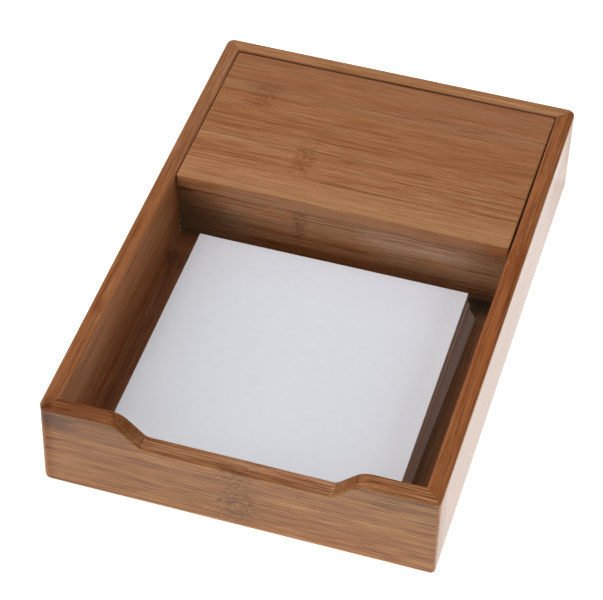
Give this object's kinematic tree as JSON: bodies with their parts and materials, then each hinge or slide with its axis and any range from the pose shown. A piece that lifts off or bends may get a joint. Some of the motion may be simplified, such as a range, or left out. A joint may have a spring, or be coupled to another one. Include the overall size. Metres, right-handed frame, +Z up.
{
  "type": "memo pad holder",
  "caption": "Low wooden desk box with an open tray of loose square memo sheets, a finger notch in the front wall and a flush hinged lid over a rear compartment.",
  "frame": {"origin": "middle of the underside, on the surface that the box stands on", "axes": "+Z up; front wall with the finger notch at -Y, hinged edge of the lid at +Y; +X to the right seen from the front"},
  "size_m": [0.14, 0.2078, 0.0362],
  "materials": {
    "bamboo_front": "carbonised laminated bamboo, satin lacquer, grain along X",
    "bamboo_side": "carbonised laminated bamboo, satin lacquer, grain along Y",
    "bamboo_inner": "carbonised laminated bamboo, thin satin lacquer",
    "bamboo_lid": "carbonised laminated bamboo, satin lacquer, grain along X",
    "pin_steel": "plain drawn",
    "memo_paper": "uncoated, matt"
  },
  "bodies": {
    "tray": {"front_wall": "bamboo_front", "back_wall": "bamboo_front", "left_wall": "bamboo_side", "right_wall": "bamboo_side", "divider": "bamboo_inner", "bottom_panel": "bamboo_inner", "hinge_pin_left": "pin_steel", "hinge_pin_right": "pin_steel"},
    "lid": {"lid": "bamboo_lid"},
    "memo_sheets": {"memo_sheets_bottom": "memo_paper", "memo_sheets_middle": "memo_paper", "memo_sheets_top": "memo_paper"}
  },
  "joints": [
    {"name": "lid_hinge", "type": "hinge", "parent": "tray", "child": "lid", "pos_m": [0, 0.0921, 0.0335], "axis": [-1, 0, 0], "range_deg": [0, 120]},
    {"name": "sheets_lift_out", "type": "slide", "parent": "tray", "child": "memo_sheets", "axis": [0, 0, 1], "range_m": [0, 0.06]}
  ]
}
